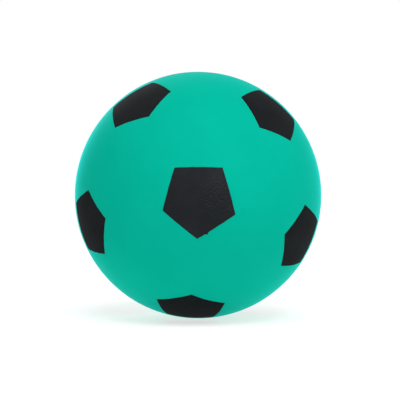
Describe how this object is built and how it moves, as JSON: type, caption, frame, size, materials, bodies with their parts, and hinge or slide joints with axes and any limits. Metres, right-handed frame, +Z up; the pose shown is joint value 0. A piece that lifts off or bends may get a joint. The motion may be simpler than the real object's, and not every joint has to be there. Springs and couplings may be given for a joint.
{
  "type": "foam soccer ball",
  "caption": "Soft foam soccer ball: a solid foam core in a closed teal skin, with black pentagon patches set flush in the skin.",
  "frame": {"origin": "centre of the ball", "axes": "+Z up as the ball lies in the picture; -Y is the front, along the axis of the front patch, whose lower corner points to -Z; +X is to the right seen from the front"},
  "size_m": [0.2, 0.2, 0.2],
  "materials": {
    "foam": "soft open-cell foam",
    "skin": "smooth satin foam skin",
    "patch": "matt black coat with a fine grain"
  },
  "bodies": {
    "root": {"foam_core": "foam", "skin": "skin", "patch_front": "patch", "patch_front_bottom": "patch", "patch_front_right": "patch", "patch_front_upper_right": "patch", "patch_front_upper_left": "patch", "patch_front_left": "patch", "patch_back_lower_right": "patch", "patch_back_right": "patch", "patch_back_top": "patch", "patch_back_left": "patch", "patch_back_lower_left": "patch", "patch_back": "patch"}
  },
  "joints": []
}
